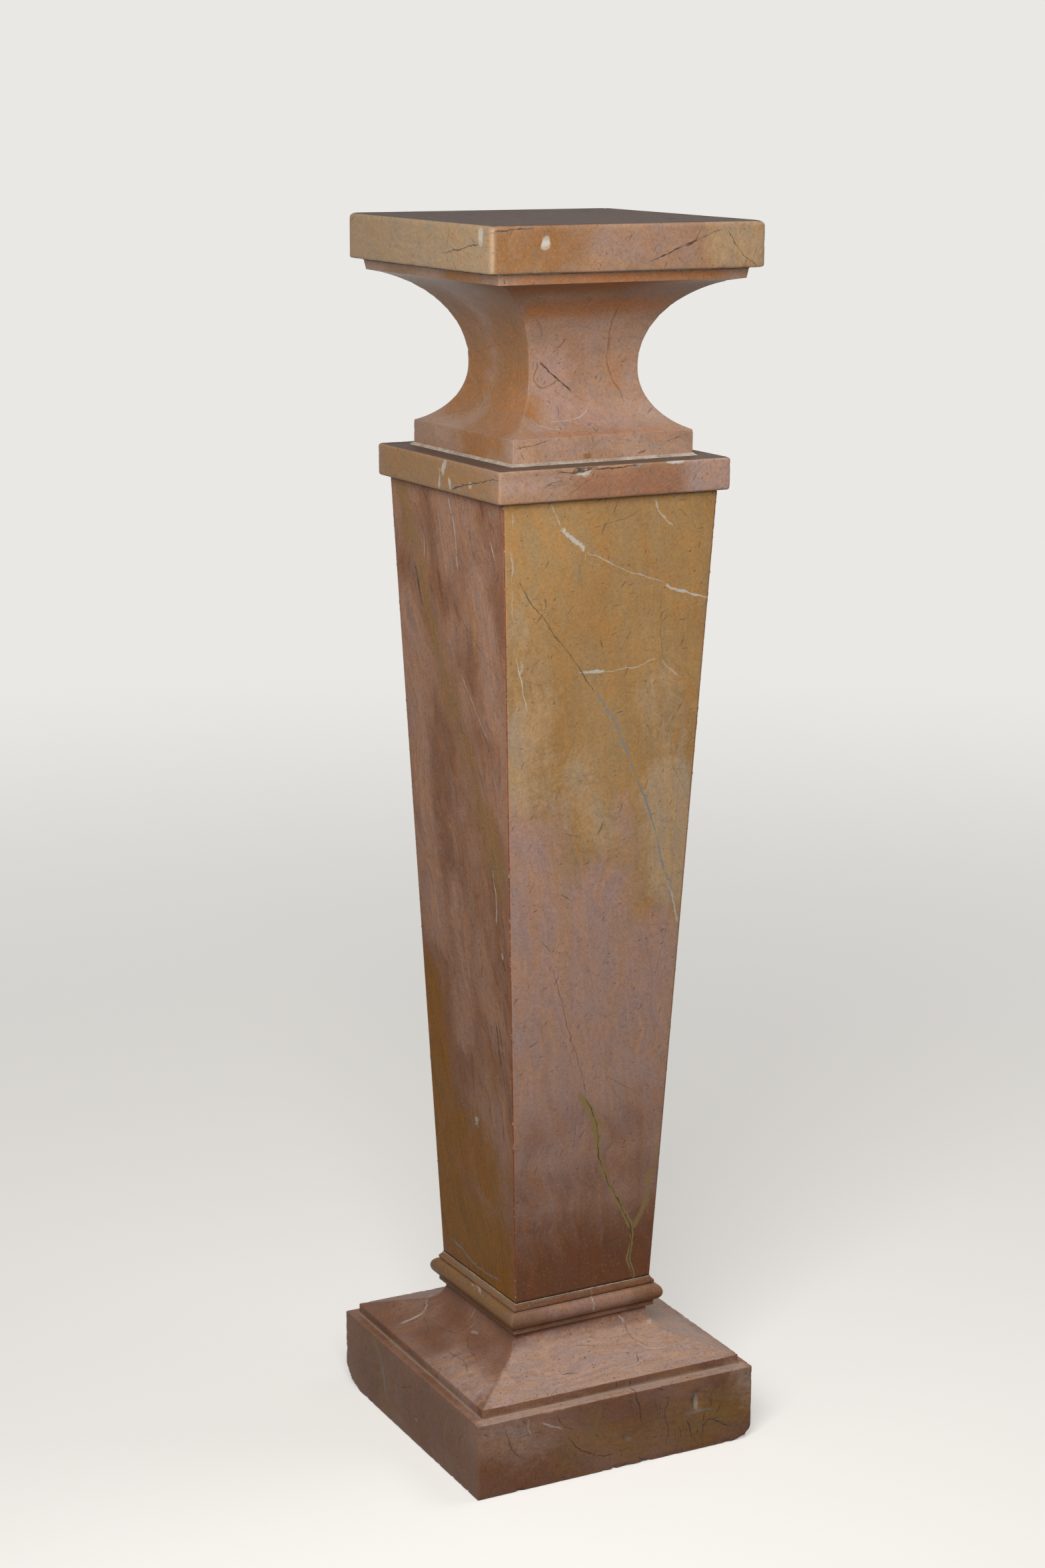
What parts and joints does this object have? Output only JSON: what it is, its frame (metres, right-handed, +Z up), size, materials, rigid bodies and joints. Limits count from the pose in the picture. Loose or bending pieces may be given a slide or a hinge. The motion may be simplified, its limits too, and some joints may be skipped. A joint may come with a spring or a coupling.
{
  "type": "pedestal column stand",
  "caption": "Tall square marble pedestal: flat top slab over a deep hollow-curved capital, a shaft that tapers downwards, a torus moulding and a wide stepped base.",
  "frame": {"origin": "centre of the plinth's underside", "axes": "+Z up the column, +X and +Y square to the plinth's sides, front face towards -Y"},
  "size_m": [0.296, 0.296, 1.16],
  "materials": {
    "dusty_pink_marble": "honed and waxed, dusty pink with ochre patches",
    "ochre_marble": "polished, ochre to orange-pink",
    "veined_shaft_marble": "polished, ochre to pink with grey and white veins",
    "streaked_shaft_marble": "polished, brown and mauve streaks running down",
    "peach_marble": "polished, peach with fine brown cracks",
    "lime_mortar": "matt, off-white and gritty",
    "plaster": "matt, cast",
    "red_mastic": "waxy, brick red",
    "wrought_iron": "dark, rough, lightly rusted"
  },
  "bodies": {
    "root": {"base_block": "dusty_pink_marble", "torus_bed": "lime_mortar", "torus_moulding": "ochre_marble", "shaft_foot_bed": "lime_mortar", "shaft_front_slab": "veined_shaft_marble", "shaft_right_slab": "veined_shaft_marble", "shaft_back_slab": "veined_shaft_marble", "shaft_left_slab": "streaked_shaft_marble", "arris_mastic": "red_mastic", "corner_cleats": "plaster", "head_cramps": "wrought_iron", "foot_cramps": "wrought_iron", "shaft_head_bed": "lime_mortar", "necking_slab": "peach_marble", "capital_bed": "lime_mortar", "capital_block": "peach_marble", "abacus_bed": "lime_mortar", "abacus_slab": "peach_marble", "abacus_dowels": "wrought_iron", "tie_rod": "wrought_iron", "bottom_washer": "wrought_iron", "bottom_nut": "wrought_iron", "top_washer": "wrought_iron", "top_nut": "wrought_iron"}
  },
  "joints": []
}
